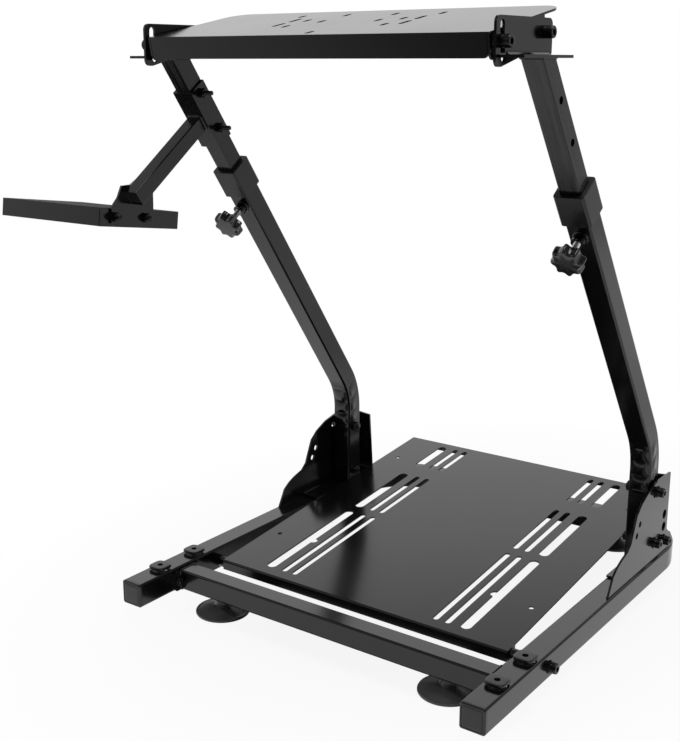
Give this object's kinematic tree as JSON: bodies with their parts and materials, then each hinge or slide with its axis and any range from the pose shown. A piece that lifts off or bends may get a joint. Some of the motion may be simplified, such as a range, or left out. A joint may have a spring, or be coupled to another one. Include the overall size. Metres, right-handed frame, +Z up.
{
  "type": "racing wheel stand",
  "caption": "Black steel floor stand for a racing wheel: slotted pedal plate, leaning telescopic uprights, tilting wheel deck and a side shifter tray.",
  "frame": {"origin": "on the floor under the middle of the overall box, which takes in the shifter tray", "axes": "+X to the driver's right, +Y away from the driver, +Z up"},
  "size_m": [0.7216, 0.6602, 0.7665],
  "materials": {
    "powder_coat": "semi-gloss black powder coat",
    "black_bolts": "black oxide",
    "black_plastic": "matte black moulding",
    "foot_rubber": "matte black rubber",
    "zinc": "bright zinc"
  },
  "bodies": {
    "base": {"front_cross_tube": "powder_coat", "front_left_foot": "foot_rubber", "front_right_foot": "foot_rubber", "left_clamp_boss": "powder_coat", "left_collar": "black_plastic", "left_plate_bolts": "black_bolts", "left_plate_sleeves": "powder_coat", "left_rail": "powder_coat", "left_rail_pads": "black_bolts", "left_rail_plug": "black_plastic", "left_side_bracket": "powder_coat", "left_upright": "powder_coat", "left_upright_bolts": "black_bolts", "pedal_plate": "powder_coat", "rear_cross_tube": "powder_coat", "rear_left_foot": "foot_rubber", "rear_right_foot": "foot_rubber", "right_clamp_boss": "powder_coat", "right_collar": "black_plastic", "right_plate_bolts": "black_bolts", "right_plate_sleeves": "powder_coat", "right_rail": "powder_coat", "right_rail_pads": "black_bolts", "right_rail_plug": "black_plastic", "right_side_bracket": "powder_coat", "right_upright": "powder_coat", "right_upright_bolts": "black_bolts"},
    "upper": {"left_deck_bracket": "powder_coat", "left_inner_tube": "powder_coat", "right_deck_bracket": "powder_coat", "right_inner_tube": "powder_coat", "shifter_arm": "powder_coat", "shifter_arm_plug": "black_plastic", "shifter_bracket": "powder_coat", "shifter_clamp": "powder_coat", "shifter_clamp_bolts": "black_bolts", "shifter_tray": "powder_coat", "shifter_tray_bolts": "black_bolts"},
    "deck": {"wheel_deck": "powder_coat", "left_deck_bolts": "black_bolts", "right_deck_bolts": "black_bolts"},
    "left_knob": {"left_knob": "black_plastic", "left_knob_stud": "zinc"},
    "right_knob": {"right_knob": "black_plastic", "right_knob_stud": "zinc"}
  },
  "joints": [
    {"name": "height_slide", "type": "slide", "parent": "base", "child": "upper", "axis": [0, -0.5878, 0.809], "range_m": [-0.03, 0.1]},
    {"name": "deck_tilt", "type": "hinge", "parent": "upper", "child": "deck", "pos_m": [0.0802, -0.16945, 0.738], "axis": [1, 0, 0], "range_deg": [-10, 2.5]},
    {"name": "left_knob_turn", "type": "hinge", "parent": "base", "child": "left_knob", "pos_m": [-0.1662, -0.11415, 0.49942], "axis": [0, -0.809, -0.5878], "continuous": true},
    {"name": "right_knob_turn", "type": "hinge", "parent": "base", "child": "right_knob", "pos_m": [0.3266, -0.11415, 0.49942], "axis": [0, -0.809, -0.5878], "continuous": true}
  ]
}
